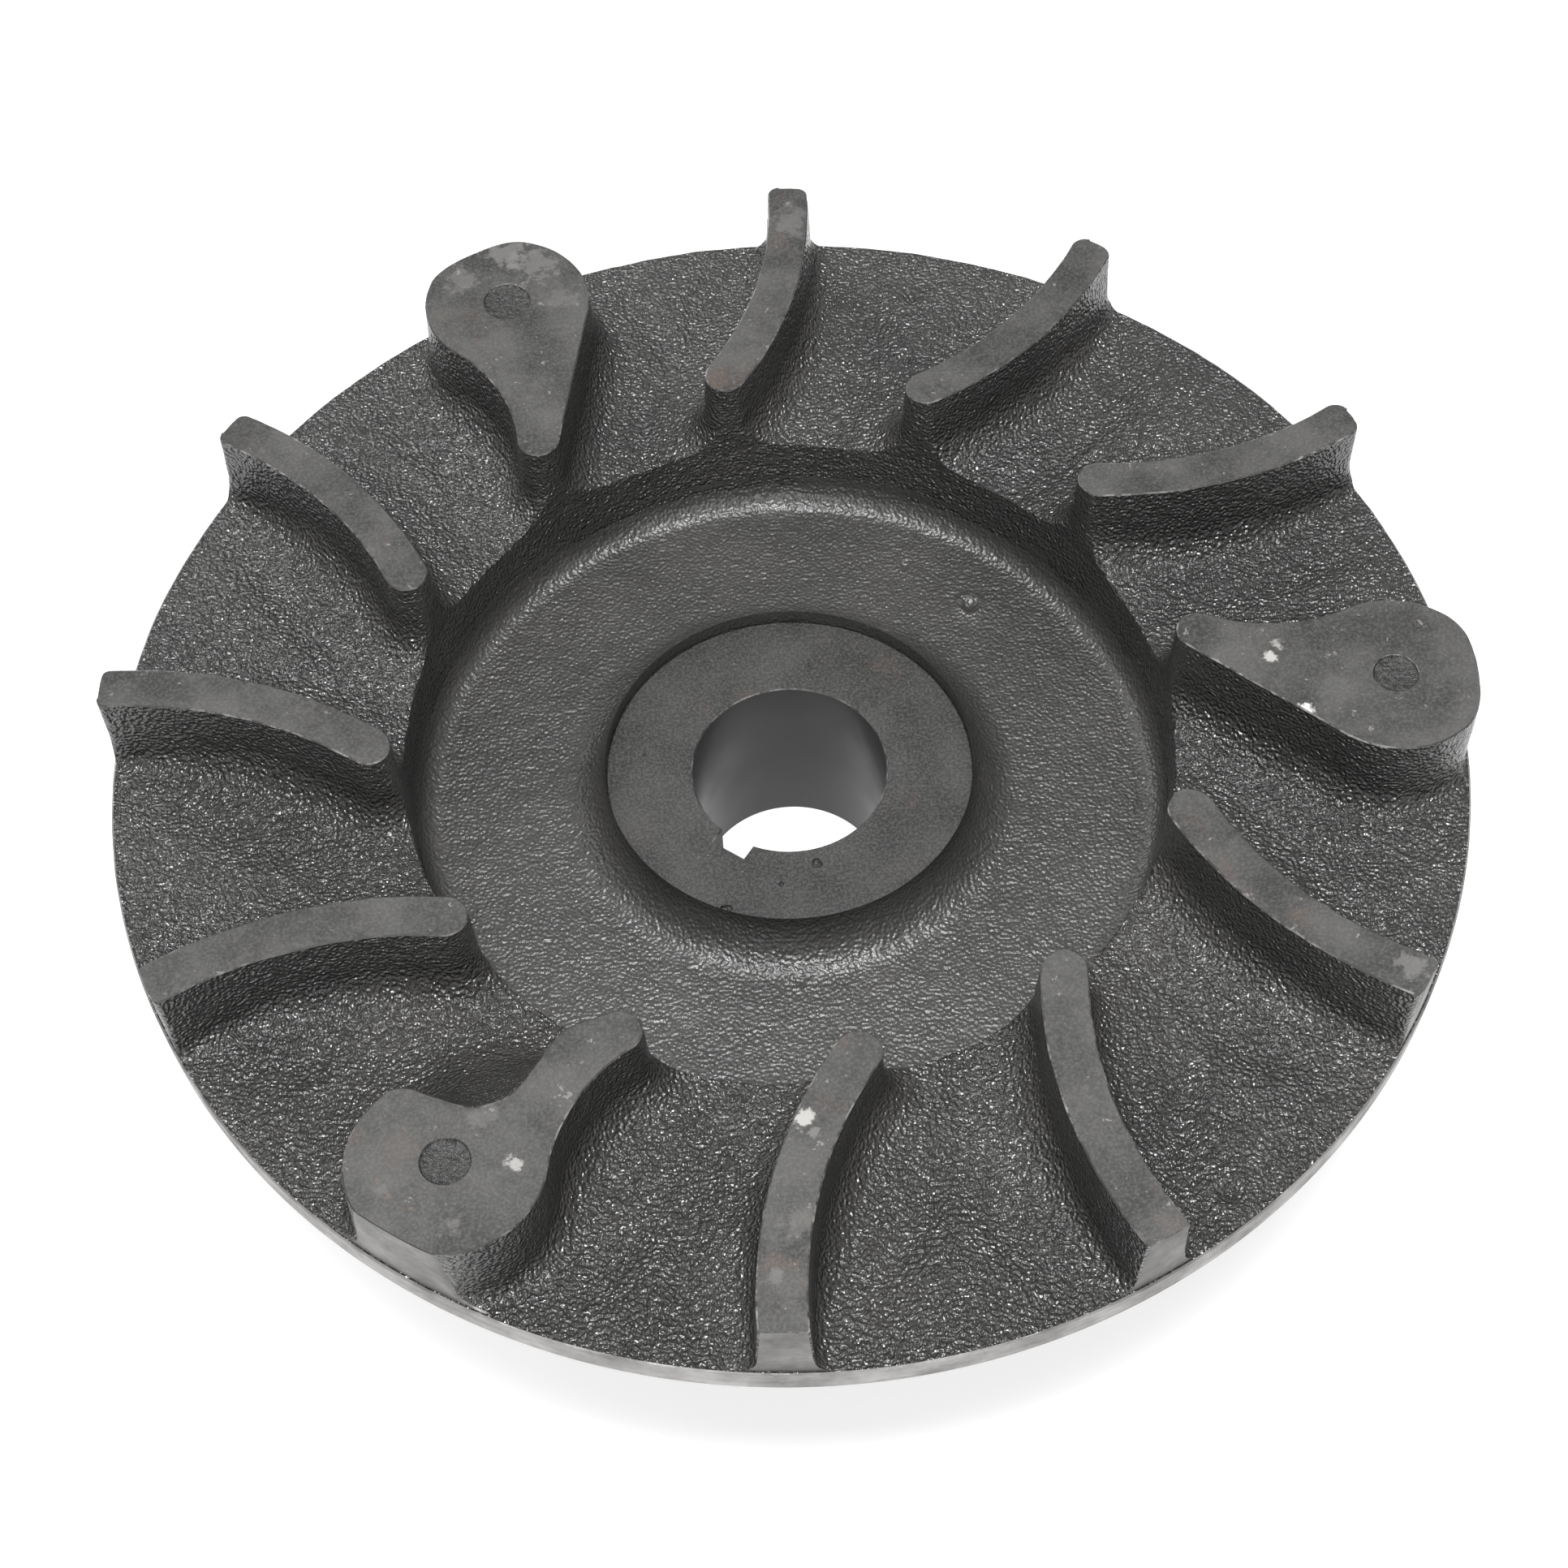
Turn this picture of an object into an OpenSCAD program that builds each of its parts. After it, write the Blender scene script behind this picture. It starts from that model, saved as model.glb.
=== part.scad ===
// Air-cooling flywheel of a small engine, cast in iron and then turned.
// +Z is the crankshaft axis and points away from the engine. The origin is the
// centre of the bore on the hub's engine-side face. All sizes are in millimetres.
// The real wheel is one casting: its regions are separate solids that meet face to face.

/* [Hub] */
// Diameter of the straight bore, a one inch shaft size
bore_d = 25.4; // [20:0.1:30]
// Width of the keyway, for a 3/16 inch key
key_w = 4.76; // [3:0.01:6]
// Distance from the axis to the keyway's floor
key_floor = 14.7; // [14.2:0.1:16]
// Direction of the keyway, anticlockwise from +X
key_angle = 236; // [0:1:359]
// Outside diameter of the hub
hub_d = 48; // [44:0.1:50]
// Length of the hub
hub_len = 29; // [26:0.1:32]
// Chamfer on the hub's edges and the bore's mouths
hub_chamfer = 0.2; // [0.1:0.1:1]

/* [Web] */
// Height of the floor of the recess round the hub
web_top = 25.2; // [23:0.1:26]
// Thickness of the web between hub and ring
web_t = 8; // [6:0.5:10]
// Radius where the recess floor meets the recess wall
recess_r = 48.6; // [46:0.1:49]

/* [Deck] */
// Outside diameter of the wheel
rim_d = 171.4; // [168:0.1:180]
// Height of the deck's outer edge
rim_z = 38.4; // [38:0.1:41]
// Thickness of the turned rim
rim_t = 4.2; // [3:0.1:6]
// Radial width of the turned rim
rim_w = 5.7; // [4:0.1:8]
// Radius of the deck's inner edge, round the recess
deck_in_r = 49.3; // [49:0.1:49.5]
// Drop of the deck from its outer edge to its inner edge
deck_drop = 2.3; // [0.5:0.1:3]
// Thickness of the deck where the magnet ring joins it
deck_t = 6.8; // [5:0.1:9]

/* [Vanes] */
// Number of vanes round the wheel
vane_count = 12; // [12:1:12]
// Height of the turned vane tops at the rim
vane_top = 49.9; // [46:0.1:54]
// Fall of the vane tops for each millimetre inwards from the rim
top_slope = 0.05; // [0:0.01:0.1]
// Gap between the rim's edge and the vanes' outer ends
vane_inset = 0.4; // [0:0.1:1]
// Thickness of a vane
vane_w = 5.5; // [4:0.1:7]
// Radius of the arc that a vane follows
vane_arc_r = 53.6; // [50:0.1:60]
// Direction of the first vane's tip
first_vane = 88.4; // [0:0.1:90]
// Turn of each vane off its even place, as the hand-made pattern left it
vane_turn = [0, -0.25, -0.9, -0.5, -0.7, -1.2, -0.15, -0.15, 0.45, 0.7, 0.7, 0.75]; // [-2:0.05:2]

/* [Bosses] */
// Number of vanes from one boss to the next
boss_every = 4; // [4:1:4]
// Radius of the round bosses
boss_r = 11.3; // [9:0.1:12]
// Diameter of the circle that the bosses stand on
boss_pcd = 150.2; // [148:0.1:152]
// Diameter of the drill spot in each boss
spot_d = 6; // [3:0.1:8]
// Depth of the drill spot
spot_depth = 0.5; // [0.4:0.1:3]

/* [Magneto] */
// Inside diameter of the ring that carries the magnet
ring_in_d = 100; // [98:0.5:104]
// Outside diameter of the ring at its open end
ring_out_d = 121; // [116:0.5:126]
// Height of the ring's open end above the hub's face
ring_z = 8; // [4:0.5:10]
// Angle between the ends of the magnet
magnet_span = 32; // [24:1:40]
// Angle covered by each pole shoe
shoe_span = 20; // [16:1:24]
// Radial thickness of the magnet and the pole shoes
shoe_w = 10.4; // [10:0.1:12]
// Axial length of the magnet and the pole shoes
shoe_len = 8.2; // [7:0.1:8.4]
// Diameter of the screws that hold the pole shoes
screw_d = 4; // [3:0.5:5]
// Length of thread in the web
screw_grip = 5; // [3:0.5:6]

/* [Hidden] */
$fn = 96;
EPS = 0.01;
rim_r = rim_d / 2;
hub_r = hub_d / 2;
bore_r = bore_d / 2;
web_bottom = web_top - web_t;
ring_in_r = ring_in_d / 2;
ring_out_r = ring_out_d / 2;
ring_draft = 1.5;
ring_top = rim_z - deck_drop - deck_t + 0.8;
rim_in_r = rim_r - rim_w;

// Vanes and bosses are drawn pointing along +X and turned to their places.
arc_centre = [80.5, 53.1];
vane_end_r = vane_w / 2 - 0.1;
vane_root = [51.4, 8.1];
stem_root = [51.6, 7.7];
boss_centre = [boss_pcd / 2, 0];
neck_centre = [63, 29.9];
neck_r = 21.4;
neck_lead = 3;

shoe_in_r = ring_in_r - shoe_w;
shoe_z = web_bottom - shoe_len;
screw_r = ring_in_r - 6.6;
screw_head_r = 3.3;
screw_head_h = 2.4;
magnet_angle = 90;

// Height of the deck's top face at a radius.
function deck_z(r) = rim_z - deck_drop * (rim_r - r) / (rim_r - deck_in_r);

// Height of the turned tops of the vanes and bosses at a radius.
function top_z(r) = vane_top - top_slope * (rim_r - r);

// Radius of the sloping recess wall at a height.
function wall_r(z) = recess_r
    + (deck_in_r - recess_r) * (z - web_top) / (deck_z(deck_in_r) - web_top);

// Direction of vane number k, counted clockwise from the first.
function vane_angle(k) = first_vane - k * 360 / vane_count + vane_turn[k];

// Unit normal of the line that touches two circles on the side given by s.
function tangent_normal(c1, r1, c2, r2, s) =
    let (d = c2 - c1)
    let (a = atan2(d[1], d[0]) + s * acos((r1 - r2) / norm(d)))
    [cos(a), sin(a)];

module ring_section(points) {
    rotate_extrude($fn = 180) polygon(points);
}

// The ring-shaped space between the deck and the turned tops.
module vane_space() {
    out_r = rim_r - vane_inset;
    ring_section([[deck_in_r, deck_z(deck_in_r)], [out_r, deck_z(out_r)],
                  [out_r, top_z(out_r)], [deck_in_r, top_z(deck_in_r)]]);
}

// A plain vane's outline: a band of an arc with a round inner end.
module vane_outline() {
    difference() {
        intersection() {
            translate(arc_centre) circle(r = vane_arc_r + vane_w / 2, $fn = 180);
            polygon([vane_root, [arc_centre[0] + 15, vane_root[1] + 10],
                     [rim_r + 10, -20], [vane_root[0] - 10, -20],
                     vane_root + 20 * (vane_root - arc_centre) / norm(vane_root - arc_centre)]);
        }
        translate(arc_centre) circle(r = vane_arc_r - vane_w / 2, $fn = 180);
    }
    translate(vane_root) circle(r = vane_end_r);
}

// The vane that runs into a boss: two tangents, one side bitten to a neck.
module stem_outline() {
    low = tangent_normal(stem_root, vane_end_r, boss_centre, boss_r, -1);
    high = tangent_normal(stem_root, vane_end_r, boss_centre, boss_r, 1);
    shoulder = stem_root + vane_end_r * high;
    difference() {
        union() {
            translate(stem_root) circle(r = vane_end_r);
            polygon([stem_root + vane_end_r * low, boss_centre + boss_r * low,
                     boss_centre, neck_centre,
                     shoulder + neck_lead * [high[1], -high[0]], shoulder]);
        }
        translate(neck_centre) circle(r = neck_r);
        translate(boss_centre) circle(r = boss_r);
    }
}

// Raises an outline from the deck to the turned tops and trims it at the rim.
module raise(k) {
    color("#3a3a3a")
    intersection() {
        rotate([0, 0, vane_angle(k)])
        translate([0, 0, web_top])
        linear_extrude(vane_top - web_top)
        children();
        vane_space();
    }
}

module hub() {
    c = hub_chamfer;
    color("#454545")
    difference() {
        ring_section([[bore_r + c, 0], [hub_r - c, 0], [hub_r, c], [hub_r, hub_len - c],
                      [hub_r - c, hub_len], [bore_r + c, hub_len],
                      [bore_r, hub_len - c], [bore_r, c]]);
        rotate([0, 0, key_angle])
        translate([0, -key_w / 2, -EPS])
        cube([key_floor, key_w, hub_len + 2 * EPS]);
    }
}

module web() {
    color("#2b2b2b")
    difference() {
        ring_section([[hub_r, web_bottom], [recess_r, web_bottom],
                      [recess_r, web_top], [hub_r, web_top]]);
        screw_places() cylinder(d = screw_d, h = screw_grip);
    }
}

module magnet_ring() {
    color("#303030")
    ring_section([[ring_in_r, ring_z], [ring_out_r, ring_z],
                  [ring_out_r + ring_draft, ring_top], [wall_r(ring_top), ring_top],
                  [recess_r, web_top], [recess_r, web_bottom], [ring_in_r, web_bottom]]);
}

module deck() {
    color("#2d2d2d")
    ring_section([[wall_r(ring_top), ring_top], [ring_out_r + ring_draft, ring_top],
                  [rim_in_r, rim_z - rim_t], [rim_in_r, deck_z(rim_in_r)],
                  [deck_in_r, deck_z(deck_in_r)]]);
}

module rim() {
    color("#8c8c8c")
    ring_section([[rim_in_r, rim_z - rim_t], [rim_r, rim_z - rim_t],
                  [rim_r, rim_z], [rim_in_r, deck_z(rim_in_r)]]);
}

// Vane number k: every boss_every-th one is the stem of a boss.
module vane(k) {
    if (k % boss_every == boss_every - 1) {
        raise(k) stem_outline();
    } else {
        raise(k) vane_outline();
    }
}

module boss(b) {
    k = b * boss_every + boss_every - 1;
    difference() {
        raise(k) translate(boss_centre) circle(r = boss_r);
        rotate([0, 0, vane_angle(k)])
        translate([boss_centre[0], 0, top_z(boss_centre[0]) - spot_depth])
        cylinder(d = spot_d, h = 2 * spot_depth);
    }
}

// The pole shoes' screws, one on each side of the magnet.
module screw_places() {
    for (s = [-1, 1]) {
        rotate([0, 0, magnet_angle + s * (magnet_span + shoe_span) / 2])
        translate([screw_r, 0, web_bottom])
        children();
    }
}

// A block of the magneto that lies against the ring, between two angles.
module ring_block(from, to) {
    rotate([0, 0, from])
    translate([0, 0, shoe_z])
    rotate_extrude(angle = to - from, $fn = 180)
    translate([shoe_in_r, 0])
    square([shoe_w, shoe_len]);
}

module magnet() {
    color("#6b6259")
    ring_block(magnet_angle - magnet_span / 2, magnet_angle + magnet_span / 2);
}

module pole_shoe(s) {
    near = magnet_angle + s * magnet_span / 2;
    far = near + s * shoe_span;
    color("#8f9296")
    difference() {
        ring_block(min(near, far), max(near, far));
        translate([0, 0, -shoe_len - EPS])
        screw_places() cylinder(d = screw_d, h = shoe_len + 2 * EPS);
    }
}

module magnet_screws() {
    color("#b5b8bb")
    screw_places() {
        translate([0, 0, -shoe_len]) cylinder(d = screw_d, h = shoe_len + screw_grip);
        translate([0, 0, -shoe_len - screw_head_h]) cylinder(r = screw_head_r, h = screw_head_h);
    }
}

hub();
web();
magnet_ring();
deck();
rim();
vane(0);  // vane_1
vane(1);  // vane_2
vane(2);  // vane_3
vane(3);  // vane_4
vane(4);  // vane_5
vane(5);  // vane_6
vane(6);  // vane_7
vane(7);  // vane_8
vane(8);  // vane_9
vane(9);  // vane_10
vane(10);  // vane_11
vane(11);  // vane_12
boss(0);  // boss_1
boss(1);  // boss_2
boss(2);  // boss_3
magnet();
pole_shoe(-1);  // pole_shoe_1
pole_shoe(1);  // pole_shoe_2
magnet_screws();
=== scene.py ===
"""Looks of the cast-iron flywheel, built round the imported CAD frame.

Lengths are in millimetres until mesh_object() turns them into metres, and only the lights are placed
in metres. The casting's pieces share one set of shape functions, so that their surfaces run into each
other where the real wheel is one casting.
"""
import math

import bmesh
import bpy
import numpy as np
from mathutils import Matrix, Vector
from mathutils.geometry import delaunay_2d_cdt


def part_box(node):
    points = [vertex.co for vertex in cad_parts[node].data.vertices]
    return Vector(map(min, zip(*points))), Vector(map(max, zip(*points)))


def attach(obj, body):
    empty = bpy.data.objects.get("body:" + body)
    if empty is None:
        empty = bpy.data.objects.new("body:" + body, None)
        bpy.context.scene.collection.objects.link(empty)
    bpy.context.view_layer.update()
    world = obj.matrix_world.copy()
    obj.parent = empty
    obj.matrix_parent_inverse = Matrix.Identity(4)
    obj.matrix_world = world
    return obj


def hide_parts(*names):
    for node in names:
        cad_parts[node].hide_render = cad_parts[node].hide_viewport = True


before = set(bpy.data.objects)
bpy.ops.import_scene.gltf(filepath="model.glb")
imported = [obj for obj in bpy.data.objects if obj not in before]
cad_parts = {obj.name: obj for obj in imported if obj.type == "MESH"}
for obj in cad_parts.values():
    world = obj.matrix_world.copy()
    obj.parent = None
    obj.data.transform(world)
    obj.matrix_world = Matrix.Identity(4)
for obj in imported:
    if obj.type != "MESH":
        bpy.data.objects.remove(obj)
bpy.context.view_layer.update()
MM = 0.001


# ---------------------------------------------------------------- sizes from the CAD frame

def low(node, axis):
    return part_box(node)[0][axis] / MM


def high(node, axis):
    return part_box(node)[1][axis] / MM


RIM_R = round(high("rim", 0), 1)
RIM_Z = round(high("rim", 2), 1)
RIM_LOW = round(low("rim", 2), 1)
RIM_IN_R = round(high("deck", 0), 1)
HUB_R = round(high("hub", 0), 1)
HUB_TOP = round(high("hub", 2), 1)
WEB_TOP = round(high("web", 2), 1)
WEB_LOW = round(low("web", 2), 1)
RECESS_R = round(high("web", 0), 1)
RING_TOP = round(high("magnet_ring", 2), 1)
RING_LOW = round(low("magnet_ring", 2), 1)
RING_OUT_R = round(high("magnet_ring", 0), 1)
VANE_TOP = round(high("vane_1", 2), 1)

# Sizes that boxes can't give, as part.scad has them.
BORE_R = 12.7
KEY_W = 4.76
KEY_FLOOR = 14.7
KEY_ANGLE = math.radians(236)
DECK_IN_R = 49.3
DECK_DROP = 2.3
TOP_SLOPE = 0.05
VANE_END_R = RIM_R - 0.4
RING_IN_R = 50.0
RING_MOUTH_R = 60.5

VANE_COUNT = 12
BOSS_EVERY = 4
FIRST_VANE = 88.4
VANE_TURN = [0, -0.25, -0.9, -0.5, -0.7, -1.2, -0.15, -0.15, 0.45, 0.7, 0.7, 0.75]
VANE_HALF_W = 2.75
VANE_ARC_R = 53.6
ARC_CENTRE = np.array([80.5, 53.1])
VANE_ROOT = np.array([51.4, 8.1])
STEM_ROOT = np.array([51.6, 7.7])
BOSS_CENTRE = np.array([75.1, 0.0])
BOSS_R = 11.3
NECK_R = 21.4
MAGNET_SPAN = 32
SHOE_SPAN = 20
SHOE_W = 10.4
SHOE_LEN = 8.2
SHEETS = 10
SCREW_INSET = 6.6
SCREW_HEAD_R = 3.3
SCREW_HEAD_H = 2.4
SCREW_R = 2.0
SCREW_GRIP = 5
SLOT_W = 1.1
SLOT_DEPTH = 1.2

# As-cast shape that the CAD solids leave out. One boss's top was never quite filled, on a stretch
# given by distances from its stem's end.
DRAFT = math.radians(3)
FOOT_R_INNER = 5.2
FOOT_R_RIM = 2.2
FOOT_BLEND = (66.0, 83.0)
TROUGH_DEPTH = 0.45
TROUGH_W = 9.0
HUB_FILLET = 6.0
WALL_FILLET = 3.0
SCOOPED_BOSS = 1
SCOOP_DEPTH = 6.4
SCOOP_RISE = (4, 15.5)
SCOOP_FALL = (17, 27)
SPOT_DEPTH = 0.5
SPOT_R = [2.85, 2.95, 3.3]
BOSS_TIP_LIMIT = [2.4, 0.0, 1.4]
TIP_ROUND = [1.3, 1.7, 1.7, 0.0, 0.8, 0.3, 0.25, 0.0, 0.6, 0.9, 1.2, 0.0]


def deck_z(r):
    """Height of the deck's cone at a radius."""
    return RIM_Z - DECK_DROP * (RIM_R - r) / (RIM_R - DECK_IN_R)


def top_z(r):
    """Height of the turned tops at a radius."""
    return VANE_TOP - TOP_SLOPE * (RIM_R - r)


def vane_angle(k):
    return math.radians(FIRST_VANE - k * 360 / VANE_COUNT + VANE_TURN[k])


def ramp(x, start, end):
    """0 before start, 1 after end, and a smooth step between them."""
    t = np.clip((x - start) / (end - start), 0, 1)
    return t * t * (3 - 2 * t)


# ---------------------------------------------------------------- noise

def lattice(i, j, k, seed):
    """A repeatable random value from -1 to 1 for each whole-numbered lattice point."""
    h = (i * 73856093) ^ (j * 19349663) ^ (k * 83492791) ^ (seed * 2654435761 & 0x7FFFFFFF)
    h = (h ^ (h >> 13)) * 1274126177 & 0x7FFFFFFF
    h = (h ^ (h >> 16)) * 668265263 & 0x7FFFFFFF
    return (h ^ (h >> 15)) % 65536 / 32767.5 - 1


def noise(points, size, seed=0):
    """Smooth value noise, -1 to 1, whose features are about size mm across."""
    p = np.asarray(points, float) / size + 512.37
    i = np.floor(p).astype(np.int64)
    f = p - i
    f = f * f * (3 - 2 * f)
    out = np.zeros(len(p))
    for dx in (0, 1):
        wx = f[:, 0] if dx else 1 - f[:, 0]
        for dy in (0, 1):
            wy = f[:, 1] if dy else 1 - f[:, 1]
            for dz in (0, 1):
                wz = f[:, 2] if dz else 1 - f[:, 2]
                out += wx * wy * wz * lattice(i[:, 0] + dx, i[:, 1] + dy, i[:, 2] + dz, seed)
    return out


def cast_relief(points, strength=1.0):
    """Height of the sand-cast skin above the true surface, in mm."""
    return strength * (0.075 * noise(points, 9, 1) + 0.045 * noise(points, 3.2, 2)
                       + 0.040 * noise(points, 1.5, 3) + 0.022 * noise(points, 0.9, 4))


# ---------------------------------------------------------------- vane outlines in plan
# An outline runs from the rim round the inner end and back to the rim. Each segment gives points and
# outward normals at an offset d outside it. Vanes are drawn pointing along +X.

def unit(a):
    return np.stack([np.cos(a), np.sin(a)], -1)


class Arc:
    """An arc in plan. rim says which of its ends lies on the wheel's turned edge, and on which side."""

    def __init__(self, centre, r, start, end, convex=True, rim=None):
        self.c = np.array(centre, float)
        self.r, self.start, self.end, self.convex, self.rim = r, start, end, convex, rim

    def length(self):
        return abs(self.end - self.start) * self.r

    def at(self, u, d):
        """Points at shares u of the arc, offset outwards by d. u and d have one shape."""
        r = self.r + d if self.convex else self.r - d
        start, end = np.full_like(u, self.start), np.full_like(u, self.end)
        if self.rim is not None:
            reach = np.hypot(*self.c)
            cosine = (VANE_END_R ** 2 - reach ** 2 - r ** 2) / (2 * reach * r)
            cut = math.atan2(self.c[1], self.c[0]) + self.rim[1] * np.arccos(np.clip(cosine, -1, 1))
            if self.rim[0] == "start":
                start = cut
            else:
                end = cut
        a = start + (end - start) * u
        normal = unit(a) * (1 if self.convex else -1)
        return self.c + unit(a) * r[..., None], normal


class Line:
    rim = None

    def __init__(self, p, q, normal):
        self.p, self.q, self.n = np.array(p), np.array(q), np.array(normal)

    def length(self):
        return float(np.hypot(*(self.q - self.p)))

    def at(self, u, d):
        n = np.broadcast_to(self.n, u.shape + (2,))
        return self.p + (self.q - self.p) * u[..., None] + n * d[..., None], n


def angle_of(v):
    return math.atan2(v[1], v[0])


def plain_outline():
    """A curved vane: its hollow side, its round inner end and its full side."""
    root = angle_of(VANE_ROOT - ARC_CENTRE)
    tip = root + math.radians(38)
    return [Arc(ARC_CENTRE, VANE_ARC_R - VANE_HALF_W, tip, root, False, rim=("start", -1)),
            Arc(VANE_ROOT, VANE_HALF_W, root + math.pi, root + 2 * math.pi),
            Arc(ARC_CENTRE, VANE_ARC_R + VANE_HALF_W, root, tip, rim=("end", -1))]


def boss_outline(cut=True):
    """The boss, its neck and its stem, with every arc tangent to the next. The boss ends where the
    wheel's turned edge cuts it, or runs on to its own tip."""
    stem_r = VANE_HALF_W
    axis = BOSS_CENTRE - STEM_ROOT
    gap = np.hypot(*axis)
    lean = angle_of(axis)
    low_n = lean - math.acos((stem_r - BOSS_R) / gap)
    to_stem, to_boss = NECK_R + stem_r, NECK_R + BOSS_R
    bend = math.acos((to_stem ** 2 + gap ** 2 - to_boss ** 2) / (2 * to_stem * gap))
    neck = STEM_ROOT + to_stem * unit(np.array(lean + bend))
    from_boss, from_stem = angle_of(neck - BOSS_CENTRE), angle_of(neck - STEM_ROOT)
    n = unit(np.array(low_n))
    begin, finish = (("start", 1), ("end", -1)) if cut else (None, None)
    tip = 0.4 if cut else 0.0
    return [Arc(BOSS_CENTRE, BOSS_R, tip, from_boss, rim=begin),
            Arc(neck, NECK_R, from_boss - math.pi, from_stem - math.pi, False),
            Arc(STEM_ROOT, stem_r, from_stem, low_n + 2 * math.pi),
            Line(STEM_ROOT + stem_r * n, BOSS_CENTRE + BOSS_R * n, n),
            Arc(BOSS_CENTRE, BOSS_R, low_n, -tip, rim=finish)]


def plan_distance(xy, k):
    """Distance in plan from points to the outline of vane k, which is negative inside it."""
    a = -vane_angle(k)
    x = xy[:, 0] * math.cos(a) - xy[:, 1] * math.sin(a)
    y = xy[:, 0] * math.sin(a) + xy[:, 1] * math.cos(a)
    p = np.stack([x, y], -1)
    if k % BOSS_EVERY != BOSS_EVERY - 1:
        q = p - ARC_CENTRE
        turn = np.arctan2(q[:, 1], q[:, 0]) - angle_of(VANE_ROOT - ARC_CENTRE)
        turn = (turn + math.pi) % (2 * math.pi) - math.pi
        band = np.abs(np.hypot(q[:, 0], q[:, 1]) - VANE_ARC_R)
        root = np.hypot(*(p - VANE_ROOT).T)
        return np.where(turn > 0, band, root) - VANE_HALF_W
    axis = BOSS_CENTRE - STEM_ROOT
    gap = np.hypot(*axis)
    axis = axis / gap
    side = np.array([-axis[1], axis[0]])
    along, across = (p - STEM_ROOT) @ axis, (p - STEM_ROOT) @ side
    grow = (BOSS_R - VANE_HALF_W) / gap
    cone = (np.abs(across) - VANE_HALF_W - np.clip(along, 0, gap) * grow) * math.sqrt(1 - grow ** 2)
    ends = np.minimum(np.hypot(*(p - BOSS_CENTRE).T) - BOSS_R, np.hypot(*(p - STEM_ROOT).T) - VANE_HALF_W)
    hull = np.where((along > 0) & (along < gap), np.minimum(cone, ends), ends)
    neck = boss_outline()[1]
    bite = NECK_R - np.hypot(*(p - neck.c).T)
    bitten = np.maximum(hull, bite)
    return np.where((across > 0) & (along > 0) & (along < gap), np.minimum(bitten, ends), hull)


def foot_radius(r):
    """The fillet at a vane's foot is wide inside and narrow at the rim."""
    t = np.clip((r - FOOT_BLEND[0]) / (FOOT_BLEND[1] - FOOT_BLEND[0]), 0, 1)
    return FOOT_R_INNER + (FOOT_R_RIM - FOOT_R_INNER) * t * t * (3 - 2 * t)


def foot_reach(r):
    """Distance in plan from a vane's top outline to the end of its foot fillet."""
    height, fillet = top_z(r) - deck_z(r), foot_radius(r)
    return (height - fillet + fillet * math.sin(DRAFT)) * math.tan(DRAFT) + fillet * math.cos(DRAFT)


def skin_z(xy):
    """Height of the as-cast deck and rim top, with a shallow trough along each vane's foot."""
    r = np.hypot(xy[:, 0], xy[:, 1])
    d = np.min([plan_distance(xy, k) for k in range(VANE_COUNT)], axis=0)
    s = np.clip((d - foot_reach(r)) / TROUGH_W, 0, 1)
    fade = np.clip((RIM_R - r) / 12, 0, 1)
    trough = TROUGH_DEPTH * 16 * s ** 2 * (1 - s) ** 2 * fade
    flat = deck_z(r)
    points = np.column_stack([xy, flat])
    return flat - trough + cast_relief(points)


# ---------------------------------------------------------------- mesh helpers

SHARP = math.radians(35)


def mesh_object(name, verts, faces, materials, face_material):
    """A Blender object from vertices in mm, smooth but for the edges where it bends sharply."""
    mesh = bpy.data.meshes.new(name)
    mesh.from_pydata((np.asarray(verts, float) * MM).tolist(), [], faces)
    for m in materials:
        mesh.materials.append(m)
    mesh.polygons.foreach_set("material_index", np.asarray(face_material, np.int32))
    mesh.polygons.foreach_set("use_smooth", np.full(len(mesh.polygons), True))
    mesh.validate()
    mesh.update()
    mesh.set_sharp_from_angle(angle=SHARP)
    obj = bpy.data.objects.new(name, mesh)
    bpy.context.scene.collection.objects.link(obj)
    return obj


def face_outwards(obj):
    bm = bmesh.new()
    bm.from_mesh(obj.data)
    bmesh.ops.recalc_face_normals(bm, faces=bm.faces)
    bm.to_mesh(obj.data)
    bm.free()
    obj.data.set_sharp_from_angle(angle=SHARP)


def finish_piece(obj, slot, *nodes):
    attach(obj, "root")
    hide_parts(*nodes)


def grid_faces(rows, columns, start=0):
    """Quads of a grid of vertices, row after row, whose last column joins its first."""
    i = np.arange(rows - 1)[:, None] * columns
    j = np.arange(columns)[None, :]
    k = (j + 1) % columns
    return (np.stack([i + j, i + k, i + k + columns, i + j + columns], -1).reshape(-1, 4) + start).tolist()


def revolved(name, rings, count, materials, slot, node, wave):
    """A closed ring-shaped solid. rings lists (r, z, material) in order round the section, and the
    material is that of the band up to the next ring. wave(points) moves the vertices."""
    a = np.arange(count) * 2 * math.pi / count
    r = np.array([q[0] for q in rings])
    z = np.array([q[1] for q in rings])
    points = np.stack([r[:, None] * np.cos(a), r[:, None] * np.sin(a),
                       np.broadcast_to(z[:, None], (len(r), count))], -1)
    points = wave(points)
    quads = np.array(grid_faces(len(rings), count))
    j = np.arange(count)
    k = (j + 1) % count
    last = (len(rings) - 1) * count
    quads = np.vstack([quads, np.stack([last + j, last + k, k, j], -1)])
    bands = np.repeat([q[2] for q in rings], count)
    obj = mesh_object(name, points.reshape(-1, 3), quads.tolist(), materials, bands)
    finish_piece(obj, slot, node)


def between(a, b, step):
    """Numbers from a to b, without b, about step apart."""
    n = max(1, int(round(abs(b - a) / step)))
    return [a + (b - a) * i / n for i in range(n)]


def arc_rings(r, z, radius, start, end, count):
    """Cast rings along an arc of the section, without its end."""
    out = []
    for i in range(count):
        a = math.radians(start + (end - start) * i / count)
        out.append((r + radius * math.cos(a), z + radius * math.sin(a), 0))
    return out


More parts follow.
